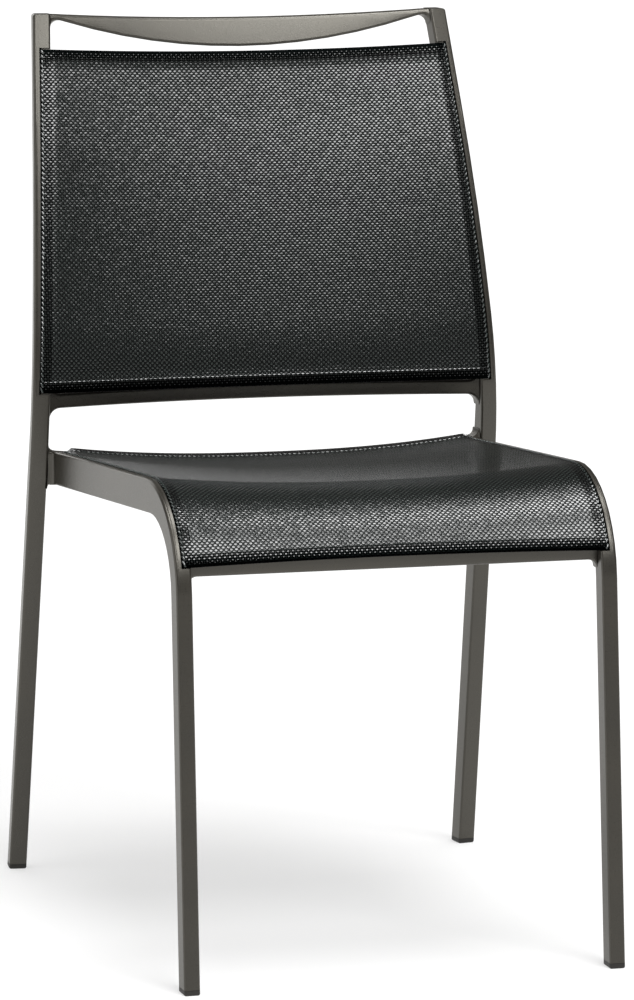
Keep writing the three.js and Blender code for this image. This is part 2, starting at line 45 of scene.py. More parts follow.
def linear(colour):
    # From sRGB hex to what a shader socket takes
    parts = [int(colour[i:i + 2], 16) / 255 for i in (1, 3, 5)]
    return [p / 12.92 if p <= 0.04045 else ((p + 0.055) / 1.055) ** 2.4 for p in parts] + [1.0]


def addNode(tree, kind, sockets=None, **settings):
    # A socket's value is a number, a colour, or the node and output that it is linked to
    node = tree.nodes.new("ShaderNode" + kind)
    for name, value in settings.items():
        setattr(node, name, value)
    for socket, value in (sockets or {}).items():
        if isinstance(value, tuple) and isinstance(value[0], bpy.types.Node):
            tree.links.new(value[0].outputs[value[1]], node.inputs[socket])
        else:
            node.inputs[socket].default_value = value
    return node


def newMaterial(name):
    material = bpy.data.materials.new(name)
    material.use_nodes = True
    material.node_tree.nodes.clear()
    return material, material.node_tree


def selectOnly(piece):
    bpy.ops.object.select_all(action="DESELECT")
    piece.select_set(True)
    bpy.context.view_layer.objects.active = piece


def applyModifiers(piece):
    selectOnly(piece)
    for modifier in list(piece.modifiers):
        bpy.ops.object.modifier_apply(modifier=modifier.name)


def addPiece(name, mesh, material):
    piece = bpy.data.objects.new(name, mesh)
    bpy.context.scene.collection.objects.link(piece)
    mesh.materials.clear()
    mesh.materials.append(material)
    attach(piece, "root")
    return piece


cameraSet = {
    "place": (-1669.97, -5493.28, 1364.87),
    "turn": 16.902,  # to the right of straight at the chair's front
    "down": 9.416,
    "roll": 0.560,
    "lens": 213.08,
    "farthest": 200000,  # what it still sees
}
floorSet = {
    "half": 40000,  # half of its side: its far edge is the horizon
    "colour": "#808080",  # what the chair gets from it
    "ownGlow": 0.56,  # what the camera sees of it: part white of its own,
    "litShare": 0.44,  # and part white paper that takes the chair's shadow
}
worldSet = {"colour": "#e6e3df", "strength": 0.15}
lampSet = {  # where each lamp is, seen from the chair, and how wide it is there
    "key": {"aim": (0.17, -0.66, 0.73), "angle": 32, "strength": 1.95},
    "top": {"aim": (0.08, -0.06, 0.99), "angle": 30, "strength": 2.2},
    "left": {"aim": (-0.93, -0.12, 0.34), "angle": 50, "strength": 0.8},
    "behind": {"aim": (-0.15, 0.95, 0.27), "angle": 40, "strength": 0.5},
}


def makeCamera():
    data = bpy.data.cameras.new("camera")
    data.lens = cameraSet["lens"]
    data.clip_end = cameraSet["farthest"] * mm
    camera = bpy.data.objects.new("camera", data)
    bpy.context.scene.collection.objects.link(camera)
    turned = (Matrix.Rotation(-math.radians(cameraSet["turn"]), 4, "Z")
              @ Matrix.Rotation(math.radians(90 - cameraSet["down"]), 4, "X")
              @ Matrix.Rotation(math.radians(cameraSet["roll"]), 4, "Z"))
    place = Vector(cameraSet["place"]) * mm
    camera.matrix_world = Matrix.Translation(place) @ turned
    bpy.context.scene.camera = camera


def makeFloor():
    # Pale paper: grey for the light that it throws back, near white for camera, gloss and glass
    bpy.ops.mesh.primitive_plane_add(size=2 * floorSet["half"] * mm, location=(0, 0, 0))
    floor = bpy.context.object
    floor.name = "floor"
    material, tree = newMaterial("pale paper floor")
    paper = addNode(tree, "BsdfDiffuse", {"Color": linear(floorSet["colour"])})
    lit = addNode(tree, "BsdfDiffuse", {"Color": [floorSet["litShare"]] * 3 + [1]})
    glow = addNode(tree, "Emission", {"Color": [1, 1, 1, 1], "Strength": floorSet["ownGlow"]})
    seen = addNode(tree, "AddShader", {0: (lit, "BSDF"), 1: (glow, "Emission")})
    path = addNode(tree, "LightPath")
    direct = addNode(tree, "Math", {0: (path, "Is Camera Ray"), 1: (path, "Is Glossy Ray")},
                     operation="MAXIMUM")
    either = addNode(tree, "Math", {0: (direct, "Value"), 1: (path, "Is Transmission Ray")},
                     operation="MAXIMUM")
    mix = addNode(tree, "MixShader", {0: (either, "Value"), 1: (paper, "BSDF"), 2: (seen, "Shader")})
    addNode(tree, "OutputMaterial", {"Surface": (mix, "Shader")})
    floor.data.materials.append(material)


def makeLight():
    world = bpy.data.worlds.new("studio")
    world.use_nodes = True
    background = world.node_tree.nodes["Background"]
    background.inputs["Color"].default_value = linear(worldSet["colour"])
    background.inputs["Strength"].default_value = worldSet["strength"]
    bpy.context.scene.world = world
    for name, lamp in lampSet.items():
        data = bpy.data.lights.new(name, "SUN")
        data.energy = lamp["strength"]
        data.angle = math.radians(lamp["angle"])
        light = bpy.data.objects.new(name, data)
        bpy.context.scene.collection.objects.link(light)
        light.matrix_world = Vector(lamp["aim"]).to_track_quat("Z", "Y").to_matrix().to_4x4()


bpy.context.scene.view_settings.view_transform = "Standard"
makeCamera()
makeFloor()
makeLight()
print("stage ready")


coatSet = {
    "light": "#35322c",
    "dark": "#2b2925",
    "cloudsPerMetre": 14.0,  # slow changes between the two tones
    "cloudDetail": 3.0,
    "roughness": (0.26, 0.38),  # from flake to flake
    "metallic": 0.15,
    "specular": 1.0,
    "sheen": "#fffbf0",  # the bronze pigment warms what the skin reflects
    "peelMm": 1.6,  # width of one bump of the orange peel
    "peelDeep": 0.05,
    "peelStrength": 0.25,
    "flakeMm": 0.45,  # the metal flakes, drawn coarser than real so that they show
}


def coatMaterial():
    # Powder-coated aluminium, sprayed and baked: a satin skin with a fine orange peel and metal flakes
    material, tree = newMaterial("powder coated aluminium, satin")
    place = addNode(tree, "TexCoord")
    cloud = addNode(tree, "TexNoise", {"Vector": (place, "Object"), "Scale": coatSet["cloudsPerMetre"],
                                       "Detail": coatSet["cloudDetail"]})
    flakes = addNode(tree, "TexVoronoi", {"Vector": (place, "Object"),
                                          "Scale": 1 / (coatSet["flakeMm"] * mm)})
    tone = addNode(tree, "MapRange", {0: (cloud, "Fac"), **noiseSpan, 3: 0.0, 4: 1.0})
    colour = addNode(tree, "Mix", {0: (tone, 0), 6: linear(coatSet["dark"]), 7: linear(coatSet["light"])},
                     data_type="RGBA")
    smooth, rough = coatSet["roughness"]
    glint = addNode(tree, "MapRange", {0: (flakes, "Color"), 1: 0.0, 2: 1.0, 3: smooth, 4: rough})
    peel = addNode(tree, "TexNoise", {"Vector": (place, "Object"), "Scale": 1 / (coatSet["peelMm"] * mm)})
    bump = addNode(tree, "Bump", {"Height": (peel, "Fac"), "Strength": coatSet["peelStrength"],
                                  "Distance": coatSet["peelDeep"] * mm})
    shader = addNode(tree, "BsdfPrincipled", {
        "Base Color": (colour, 2), "Roughness": (glint, 0), "Normal": (bump, "Normal"),
        "Metallic": coatSet["metallic"], "Specular IOR Level": coatSet["specular"],
        "Specular Tint": linear(coatSet["sheen"])})
    addNode(tree, "OutputMaterial", {"Surface": (shader, "BSDF")})
    return material


weaveSet = {
    "pitch": 2.5,  # yarn to yarn, both ways
    "width": 0.46,  # half of a yarn's width, as a share of the pitch
    "reach": 0.80,  # half of the length over which a yarn lies on top, as a share of the pitch
    "tilt": 0.22,  # how far a yarn's side leans over
    "crimp": 0.06,  # how far a yarn leans where it dives under its neighbour
    "uneven": 0.05,  # how much the yarns lean by chance
    # The weft is painted lighter than the warp: a painted highlight on the weft's crowns and painted shade
    # on the warp's
    "weft": "#2c3532",
    "warp": "#1b1d1d",
    # painted shade in the hollows between the yarns and round each yarn's edge
    "deep": "#030404",
    "weftRoughness": 0.20,
    "warpRoughness": 0.40,
    "warpDull": 0.90,  # painted shade on the warp: how much less than the weft it mirrors
    "hollowEdge": 0.22,  # height of a crown up to which it counts as hollow
    "ior": 1.55,  # soft vinyl
    "specular": 1.0,
    "grainPerMetre": 9.0,  # slow changes of tone over the cloth
    "grainDetail": 3.0,
    "grainDark": 0.8,
    "sideBand": 14.0,  # from the cloth's side edge to where it leaves the tube
    "endBand": 11.0,  # height of a hem
    "sideLoss": 0.45,  # painted shade: how much smaller, and so darker, the shining crowns are over the tube
    "endLoss": (1.05, 0.45),  # and on a hem, at its fold and where it ends: painted shade there too
}


def weaveNodes(tree):
    # Cells one yarn wide: the warp runs over in every other cell, like a chessboard
    uv = addNode(tree, "UVMap", uv_map="cloth")
    perMetre = 1 / (weaveSet["pitch"] * mm)
    count = addNode(tree, "VectorMath", {0: (uv, "UV"), 1: (perMetre, perMetre, 0)}, operation="MULTIPLY")
    cell = addNode(tree, "VectorMath", {0: (count, 0)}, operation="FLOOR")
    corner = addNode(tree, "VectorMath", {0: (count, 0), 1: (cell, 0)}, operation="SUBTRACT")
    inCell = addNode(tree, "VectorMath", {0: (corner, 0), 1: (0.5, 0.5, 0)}, operation="SUBTRACT")
    cellParts = addNode(tree, "SeparateXYZ", {0: (cell, 0)})
    total = addNode(tree, "Math", {0: (cellParts, "X"), 1: (cellParts, "Y")}, operation="ADD")
    warpOver = addNode(tree, "Math", {0: (total, 0), 1: 2.0}, operation="FLOORED_MODULO")
    parts = addNode(tree, "SeparateXYZ", {0: (inCell, 0)})
    swapped = addNode(tree, "CombineXYZ", {"X": (parts, "Y"), "Y": (parts, "X")})
    turned = addNode(tree, "Mix", {0: (warpOver, 0), 4: (swapped, 0), 5: (inCell, 0)},
                     data_type="VECTOR")  # its X runs across the upper yarn
    away = addNode(tree, "VectorMath", {0: (turned, 1)}, operation="ABSOLUTE")
    awayParts = addNode(tree, "SeparateXYZ", {0: (away, 0)})
    onUpper = addNode(tree, "Math", {0: (awayParts, "X"), 1: weaveSet["width"]}, operation="LESS_THAN")
    onLower = addNode(tree, "Math", {0: (awayParts, "Y"), 1: weaveSet["width"]}, operation="LESS_THAN")
    covered = addNode(tree, "Math", {0: (onUpper, 0), 1: (onLower, 0)}, operation="MAXIMUM")
    # A yarn's face is pressed flat in its middle, and leans more and more towards its sides and ends
    scale = (1 / weaveSet["width"], 1 / weaveSet["reach"], 0)
    share = addNode(tree, "VectorMath", {0: (turned, 1), 1: scale}, operation="MULTIPLY")
    size = addNode(tree, "VectorMath", {0: (share, 0)}, operation="ABSOLUTE")
    square = addNode(tree, "VectorMath", {0: (share, 0), 1: (size, 0)}, operation="MULTIPLY")
    slope = addNode(tree, "VectorMath", {0: (square, 0), 1: (weaveSet["tilt"], weaveSet["crimp"], 0)},
                    operation="MULTIPLY")
    slopeParts = addNode(tree, "SeparateXYZ", {0: (slope, 0)})
    slopeSwapped = addNode(tree, "CombineXYZ", {"X": (slopeParts, "Y"), "Y": (slopeParts, "X")})
    lean = addNode(tree, "Mix", {0: (warpOver, 0), 4: (slopeSwapped, 0), 5: (slope, 0)},
                   data_type="VECTOR")
    chance = addNode(tree, "TexWhiteNoise", {"Vector": (cell, 0)})
    centred = addNode(tree, "VectorMath", {0: (chance, "Color"), 1: (0.5, 0.5, 0.5)},
                      operation="SUBTRACT")
    uneven = (weaveSet["uneven"], weaveSet["uneven"], 0)
    leaning = addNode(tree, "VectorMath", {0: (centred, 0), 1: uneven, 2: (lean, 1)},
                      operation="MULTIPLY_ADD")
    leanParts = addNode(tree, "SeparateXYZ", {0: (leaning, 0)})
    upright = addNode(tree, "CombineXYZ", {"X": (leanParts, "X"), "Y": (leanParts, "Y"), "Z": 1.0})
    normal = addNode(tree, "VectorMath", {0: (upright, 0)}, operation="NORMALIZE")
    packed = addNode(tree, "VectorMath", {0: (normal, 0), 1: (0.5, 0.5, 0.5), 2: (0.5, 0.5, 0.5)},
                     operation="MULTIPLY_ADD")
    weaveNormal = addNode(tree, "NormalMap", {"Color": (packed, 0), "Strength": 1.0}, uv_map="cloth")
    # The crown of the upper yarn: 1 in its middle and 0 round its edge
    distance = addNode(tree, "VectorMath", {0: (share, 0), 1: (share, 0)}, operation="DOT_PRODUCT")
    crown = addNode(tree, "Math", {0: 1.0, 1: (distance, "Value")}, operation="SUBTRACT",
                    use_clamp=True)
    # Where the cloth is doubled, the holes are closed and the crowns are made smaller: a painted shade that
    # darkens the hems, their folds and the band over the tube
    margin = addNode(tree, "UVMap", uv_map="margin")
    marginParts = addNode(tree, "SeparateXYZ", {0: (margin, "UV")})
    inSide = addNode(tree, "Math", {0: (marginParts, "X"), 1: weaveSet["sideBand"] * mm},
                     operation="LESS_THAN")
    fromEnd = addNode(tree, "Math", {0: (marginParts, "Y")}, operation="ABSOLUTE")
    inEnd = addNode(tree, "Math", {0: (fromEnd, 0), 1: weaveSet["endBand"] * mm}, operation="LESS_THAN")
    double = addNode(tree, "Math", {0: (inSide, 0), 1: (inEnd, 0)}, operation="MAXIMUM")
    # Painted shade over the tube and on the hems: the crowns shrink, so that more of the dark hollow colour
    # shows
    sideLoss = addNode(tree, "Math", {0: (inSide, 0), 1: weaveSet["sideLoss"]}, operation="MULTIPLY")
    atFold, atHemEnd = weaveSet["endLoss"]
    endLoss = addNode(tree, "MapRange", {0: (fromEnd, 0), 1: 0.0, 2: weaveSet["endBand"] * mm,
                                         3: atFold, 4: atHemEnd})
    hemShade = addNode(tree, "Math", {0: (endLoss, 0), 1: (inEnd, 0)}, operation="MULTIPLY")
    paintedShade = addNode(tree, "Math", {0: (sideLoss, 0), 1: (hemShade, 0)}, operation="MAXIMUM")
    shadedCrown = addNode(tree, "Math", {0: (crown, 0), 1: (paintedShade, 0)}, operation="SUBTRACT", use_clamp=True)
    closed = addNode(tree, "Math", {0: (covered, 0), 1: (double, 0)}, operation="MAXIMUM")
    return uv, warpOver, closed, shadedCrown, weaveNormal


def clothMaterial():
    # Sling cloth: polyester yarn in a glossy vinyl coat, woven one over one and pressed. The crowns shine
    # in rows, the weft more than the warp, and light comes through the small square holes; the weft is also
    # painted lighter and the warp darker and duller, a painted highlight on the one and painted shade on
    # the other. Each yarn's edge and the hollows between the yarns are painted dark, and the hollows mirror
    # nothing: they are painted black and metallic, a painted shade that stands for their depth
    material, tree = newMaterial("coated yarn weave")
    uv, warpOver, closed, crown, weaveNormal = weaveNodes(tree)
    # Painted highlight and painted shade: the weft's crowns take the lighter colour and the warp's the
    # darker
    upper = addNode(tree, "Mix", {0: (warpOver, 0), 6: linear(weaveSet["weft"]),
                                  7: linear(weaveSet["warp"])}, data_type="RGBA")
    grain = addNode(tree, "TexNoise", {"Vector": (uv, "UV"), "Scale": weaveSet["grainPerMetre"],
                                       "Detail": weaveSet["grainDetail"]})
    shade = addNode(tree, "MapRange", {0: (grain, "Fac"), **noiseSpan, 3: weaveSet["grainDark"], 4: 1.0})
    # Painted shade: the colour falls from the yarn's own on its crown to the near-black hollow shade at its
    # edge and between the yarns, under a slow random grain
    tone = addNode(tree, "Math", {0: (crown, 0), 1: (shade, 0)}, operation="MULTIPLY")
    colour = addNode(tree, "Mix", {0: (tone, 0), 6: linear(weaveSet["deep"]), 7: (upper, 2)},
                     data_type="RGBA")
    polish = addNode(tree, "Mix", {0: (warpOver, 0), 2: weaveSet["weftRoughness"],
                                   3: weaveSet["warpRoughness"]}, data_type="FLOAT")
    # Painted shade on the warp: its crowns are made mostly black metal, so that they mirror less than the
    # weft's
    warpShadeLevel = addNode(tree, "Math", {0: (warpOver, 0), 1: weaveSet["warpDull"]}, operation="MULTIPLY")
    # Painted shade: black metal mirrors nothing, all over the hollows and mostly over the warp's crowns
    paintedShadeMetal = addNode(tree, "MapRange", {0: (crown, 0), 1: 0.0, 2: weaveSet["hollowEdge"], 3: 1.0,
                                        4: (warpShadeLevel, 0)})
    shader = addNode(tree, "BsdfPrincipled", {
        "Base Color": (colour, 2), "Roughness": (polish, 0), "Metallic": (paintedShadeMetal, 0),
        "Normal": (weaveNormal, "Normal"), "Alpha": (closed, 0), "IOR": weaveSet["ior"],
        "Specular IOR Level": weaveSet["specular"]})
    addNode(tree, "OutputMaterial", {"Surface": (shader, "BSDF")})
    return material


plasticSet = {
    "light": "#2b2925",
    "dark": "#24221f",
    "roughness": (0.47, 0.63),  # from bump to bump
    "grainMm": 0.8,  # the eroded grain, drawn coarser than real so that it shows
    "grainDeep": 0.05,
    "grainStrength": 0.3,
}


def plasticMaterial():
    # Polyamide, injection moulded: matt with a fine spark-eroded grain
    material, tree = newMaterial("moulded polyamide")
    place = addNode(tree, "TexCoord")
    grain = addNode(tree, "TexNoise", {"Vector": (place, "Object"),
                                       "Scale": 1 / (plasticSet["grainMm"] * mm)})
    bump = addNode(tree, "Bump", {"Height": (grain, "Fac"), "Strength": plasticSet["grainStrength"],
                                  "Distance": plasticSet["grainDeep"] * mm})
    smooth, rough = plasticSet["roughness"]
    shine = addNode(tree, "MapRange", {0: (grain, "Fac"), **noiseSpan, 3: smooth, 4: rough})
    tone = addNode(tree, "Mix", {0: (grain, "Fac"), 6: linear(plasticSet["dark"]),
                                 7: linear(plasticSet["light"])}, data_type="RGBA")
    shader = addNode(tree, "BsdfPrincipled", {"Base Color": (tone, 2), "Roughness": (shine, 0),
                                              "Normal": (bump, "Normal")})
    addNode(tree, "OutputMaterial", {"Surface": (shader, "BSDF")})
    return material


rodSet = {"colour": "#3a3a38", "roughness": (0.44, 0.56), "spotMm": 0.6}


def rodMaterial():
    # Polypropylene rod, extruded: plain and matt, with faint smoother and rougher spots
    material, tree = newMaterial("extruded polypropylene")
    place = addNode(tree, "TexCoord")
    spots = addNode(tree, "TexNoise", {"Vector": (place, "Object"), "Scale": 1 / (rodSet["spotMm"] * mm)})
    smooth, rough = rodSet["roughness"]
    shine = addNode(tree, "MapRange", {0: (spots, "Fac"), **noiseSpan, 3: smooth, 4: rough})
    shader = addNode(tree, "BsdfPrincipled", {"Base Color": linear(rodSet["colour"]),
                                              "Roughness": (shine, 0)})
    addNode(tree, "OutputMaterial", {"Surface": (shader, "BSDF")})
    return material


yarnSet = {
    "light": "#3c4744",
    "dark": "#1a1d1c",
    "roughness": 0.22,
    "ior": 1.55,
    "specular": 1.0,
    "kinkMm": 0.7,  # length of one kink
    "kinkDeep": 0.1,
    "kinkStrength": 0.3,
}


def yarnMaterial():
    # The same yarn on its own, where it wraps the edge or is loose: a smooth vinyl coat with small kinks
    material, tree = newMaterial("vinyl coated yarn")
    place = addNode(tree, "TexCoord")
    kinks = addNode(tree, "TexNoise", {"Vector": (place, "Object"),
                                       "Scale": 1 / (yarnSet["kinkMm"] * mm)})
    bump = addNode(tree, "Bump", {"Height": (kinks, "Fac"), "Strength": yarnSet["kinkStrength"],
                                  "Distance": yarnSet["kinkDeep"] * mm})
    shade = addNode(tree, "Mix", {0: (kinks, "Fac"), 6: linear(yarnSet["dark"]),
                                  7: linear(yarnSet["light"])}, data_type="RGBA")
    shader = addNode(tree, "BsdfPrincipled", {
        "Base Color": (shade, 2), "Roughness": yarnSet["roughness"], "Normal": (bump, "Normal"),
        "IOR": yarnSet["ior"], "Specular IOR Level": yarnSet["specular"]})
    addNode(tree, "OutputMaterial", {"Surface": (shader, "BSDF")})
    return material


threadSet = {
    "colour": "#161716",
    "roughness": (0.65, 0.85),
    "specular": 0.1,
    "twistMm": 0.6,  # from one turn of the twist to the next
}


def threadMaterial():
    # Polyester sewing thread, twisted and bonded: dark and nearly without shine
    material, tree = newMaterial("bonded polyester thread")
    place = addNode(tree, "TexCoord")
    twist = addNode(tree, "TexNoise", {"Vector": (place, "Object"),
                                       "Scale": 1 / (threadSet["twistMm"] * mm)})
    smooth, rough = threadSet["roughness"]
    shine = addNode(tree, "MapRange", {0: (twist, "Fac"), **noiseSpan, 3: smooth, 4: rough})
    shader = addNode(tree, "BsdfPrincipled", {
        "Base Color": linear(threadSet["colour"]), "Roughness": (shine, 0),
        "Specular IOR Level": threadSet["specular"]})
    addNode(tree, "OutputMaterial", {"Surface": (shader, "BSDF")})
    return material


coat = coatMaterial()
cloth = clothMaterial()
plastic = plasticMaterial()
rodPlastic = rodMaterial()
yarn = yarnMaterial()
thread = threadMaterial()
print("finishes mixed")


dressSet = {
    "merge": 0.003,  # corners nearer than this become one
    "flat": 0.2,  # an edge with less than this between its faces goes
    "sharp": 38,  # and one with more than this stays sharp
}
frameNodes = ["rear_leg_right", "rear_leg_left", "seat_rail_right", "seat_rail_left", "top_handle_rail",
              "lower_back_rail", "rear_seat_rail", "front_seat_rail"]
smallNodes = {"glide": (plastic, "foot_plastic"), "stop": (plastic, "stop_plastic"),
              "rod": (rodPlastic, "keder_plastic")}


def dressNode(name, suffix, material):
    # A welded copy of the CAD solid with rounded shading, in its place
    piece = addPiece(name + suffix, nodes[name].data.copy(), material)
    selectOnly(piece)
    bpy.ops.object.mode_set(mode="EDIT")
    bpy.ops.mesh.select_all(action="SELECT")
    bpy.ops.mesh.remove_doubles(threshold=dressSet["merge"] * mm)
    bpy.ops.mesh.dissolve_limited(angle_limit=math.radians(dressSet["flat"]))
    bpy.ops.object.mode_set(mode="OBJECT")
    bpy.ops.object.shade_smooth_by_angle(angle=math.radians(dressSet["sharp"]))
    weighted = piece.modifiers.new("weighted", "WEIGHTED_NORMAL")
    weighted.keep_sharp = True
    applyModifiers(piece)
    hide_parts(name)


for name in frameNodes:
    dressNode(name, "_coated", coat)
for name in nodes:
    for kind, (material, slot) in smallNodes.items():
        if kind in name:
            dressNode(name, "_moulded", material)
print("frame dressed")


# Slings. Their edges follow the rods in the tubes, which the frame holds
channelSet = {
    "seatAbove": 4.0,  # from the middle of the rod to the face that the cloth lies on
    "play": 0.3,  # between that face and the cloth
}
clothSet = {
    "thickness": 0.8,
    "rowStep": 5,
    "halfColumns": 30,
    "hem": 11,
    "hemRows": 4,
    "foldSteps": 5,  # round a hem's fold
    "lap": 0.85,  # from one layer of the hem to the other
    "blend": 3,  # length over which the hem's second layer ends
    "cornerReach": 45,  # how far from the upper or rear end a corner begins to lift
    # Out of the channel's mouth and over its lip: across and above the rod's middle
    "profile": [(0.05, 1.6), (0.12, 3.4), (0.35, 4.4), (0.85, 5.05), (1.6, 5.4), (2.6, 5.38),
                (3.8, 5.25), (6.0, 5.2)],
    "mouthTop": 3.4,  # above it the profile goes over to the cloth's own height,
    "mouthBlend": 1.6,  # over this much
}
backSet = {
    "rod": "back_keder_rod_right",
    "node": "back_sling",
    "innerEdge": 10.5,  # from the rod's middle to where the cloth leaves the tube
    "sag": (7, 13, 9),  # of the middle line: at the lower end, halfway and at the upper end
    "shift": (0, -2),  # of the middle line along the sheet: at the lower and the upper end
    "cornerLift": 0.0,
    "spread": (2.0, 2.0),  # at both ends: 2 is a round sag, more a flatter one
}
seatSet = {
    "rod": "seat_keder_rod_right",
    "node": "seat_sling",
    "innerEdge": 8.5,
    "sag": (2, 13, 11),  # at the front, halfway and at the rear
    "shift": (3, 0),
    "cornerLift": 4.0,
    "spread": (2.0, 2.4),
}
ringGap = 3  # corners of a rod that lie farther apart than this belong to two rings


def ringCentres(nodeName):
    # The middles of the rod's rings, from its front or lower end, by how far up and back they lie
    corners = sorted({tuple(round(c, 6) for c in v.co) for v in nodes[nodeName].data.vertices},
                     key=lambda p: p[1] + p[2])
    rings = [[corners[0]]]
    for before, corner in zip(corners, corners[1:]):
        if corner[1] + corner[2] - before[1] - before[2] > ringGap * mm:
            rings.append([])
        rings[-1].append(corner)
    return [sum((Vector(c) for c in ring), Vector()) / len(ring) for ring in rings]


def edgeLine(nodeName):
    # A smooth line through the ring centres: a place, a heading and a length for each step
    centres = ringCentres(nodeName)
    chords = [b - a for a, b in zip(centres, centres[1:])]
    headings = [chords[0]] + [a + b for a, b in zip(chords, chords[1:])] + [chords[-1]]
    headings = [h.normalized() for h in headings]
    headings[0] = (2 * chords[0].normalized() - headings[1]).normalized()
    headings[-1] = (2 * chords[-1].normalized() - headings[-2]).normalized()
    places, length = [], 0.0
    for k, chord in enumerate(chords):
        reach = chord.length
        steps = max(math.ceil(reach / (clothSet["rowStep"] * mm)), 1)
        for step in range(steps + (k == len(chords) - 1)):
            t = step / steps
            along = headings[k] * reach, headings[k + 1] * reach
            point = ((2 * t ** 3 - 3 * t ** 2 + 1) * centres[k] + (t ** 3 - 2 * t ** 2 + t) * along[0]
                     + (3 * t ** 2 - 2 * t ** 3) * centres[k + 1] + (t ** 3 - t ** 2) * along[1])
            heading = ((6 * t ** 2 - 6 * t) * (centres[k] - centres[k + 1])
                       + (3 * t ** 2 - 4 * t + 1) * along[0] + (3 * t ** 2 - 2 * t) * along[1])
            places.append((point, heading.normalized(), length + reach * t))
        length += reach
    middle = centres[len(centres) // 2]
    outward = (middle - centres[0]).cross(centres[-1] - middle).normalized()
    if outward.x < 0:
        outward.negate()
    return places, outward, length


class Edge:
    def __init__(self, sling):
        self.places, self.outward, self.length = edgeLine(sling["rod"])
        self.sling = sling

    def at(self, length):
        # The place, heading and face direction at any length, past the ends too
        places = self.places
        k = 0
        while k + 2 < len(places) and places[k + 1][2] < length:
            k += 1
        (start, startHeading, startLength), (end, endHeading, endLength) = places[k], places[k + 1]
        t = (length - startLength) / (endLength - startLength)
        heading = startHeading.lerp(endHeading, min(max(t, 0), 1)).normalized()
        face = heading.cross(self.outward)
        if face.z - face.y < 0:
            face.negate()
        return start.lerp(end, t), heading, face.normalized()

    def place(self, length, across, above):
        # A point beside the rod, towards the chair's middle and out of the tube's face
        point, heading, face = self.at(length)
        return point - self.outward * across * mm + face * above * mm


def alongSheet(values, share):
    # On a curve through the values at the start, halfway and at the end
    start, middle, end = values
    return start * (1 - share) + end * share + 4 * (middle - (start + end) / 2) * share * (1 - share)


def doubled(edge, length):
    # 1 on a hem and 0 between the hems
    fromEnd = min(length, edge.length - length) / mm
    return min(max((clothSet["hem"] + clothSet["blend"] - fromEnd) / clothSet["blend"], 0), 1)


def rowPoints(edge, length, behind):
    # One row of the cloth, from the middle to the right edge, so many millimetres behind its face
    sling, profile = edge.sling, clothSet["profile"]
    share = min(max(length / edge.length, 0), 1)
    lift = clothSet["lap"] * doubled(edge, length) - behind
    top = channelSet["seatAbove"] + channelSet["play"] + clothSet["thickness"]
    rise = top - profile[-1][1]
    fromEnd = (edge.length - length) / mm
    cornerLift = sling["cornerLift"] * max(1 - fromEnd / clothSet["cornerReach"], 0) ** 2
    rail = edge.place(length, sling["innerEdge"], top + lift + cornerLift)
    sag = alongSheet(sling["sag"], share) * mm
    startShift, endShift = sling["shift"]
    shift = (startShift * max(1 - 2 * share, 0) + endShift * max(2 * share - 1, 0)) * mm
    power = sling["spread"][0] * (1 - share) + sling["spread"][1] * share
    heading, face = edge.at(length)[1:]
    flatDown = Vector((0, -face.y, -face.z)).normalized()
    flatAlong = Vector((0, heading.y, heading.z)).normalized()
    points = []
    for k in range(clothSet["halfColumns"] + 1):
        part = k / clothSet["halfColumns"]
        fall = 1 - part ** power
        points.append(Vector((rail.x * part, rail.y, rail.z)) + flatDown * (sag * fall)
                      + flatAlong * (shift * (1 - part ** 2)))
    for across, above in reversed(profile):
        over = min(max((above - clothSet["mouthTop"]) / clothSet["mouthBlend"], 0), 1)
        lifted = (above + (rise + lift) * over
                  + cornerLift * over * min(across / sling["innerEdge"], 1) ** 2)
        points.append(edge.place(length, across, lifted))
    return points


def widthsAlong(row):
    # How far each point of a row lies from the first, along the row
    widths = [0.0]
    for a, b in zip(row, row[1:]):
        widths.append(widths[-1] + (b - a).length)
    return widths


def clothRows(edge):
    # The rows from hem to hem: length, millimetres behind the face, and place along the flat cloth
    hem, step, lap = clothSet["hem"] * mm, clothSet["rowStep"] * mm, clothSet["lap"] * mm
    hemRows, foldSteps = clothSet["hemRows"], clothSet["foldSteps"]
    radius = lap / 2
    rows = []
    flat = -hem - math.pi * radius
    for k in range(hemRows):
        rows.append((hem * (1 - k / hemRows), clothSet["lap"], flat + hem * k / hemRows))
    for k in range(foldSteps + 1):
        angle = math.pi * k / foldSteps
        rows.append((radius * (1 - math.sin(angle)) - radius, clothSet["lap"] * (1 + math.cos(angle)) / 2,
                     flat + hem + radius * angle))
    count = math.ceil(edge.length / step)
    for k in range(1, count):
        rows.append((edge.length * k / count, 0.0, edge.length * k / count))
    for k in range(foldSteps + 1):
        angle = math.pi * k / foldSteps
        rows.append((edge.length + radius * math.sin(angle), clothSet["lap"] * (1 - math.cos(angle)) / 2,
                     edge.length + radius * angle))
    for k in range(1, hemRows + 1):
        rows.append((edge.length - hem * k / hemRows, clothSet["lap"],
                     edge.length + math.pi * radius + hem * k / hemRows))
    return rows


def mirrored(vector, side):
    return Vector((vector.x * side, vector.y, vector.z))


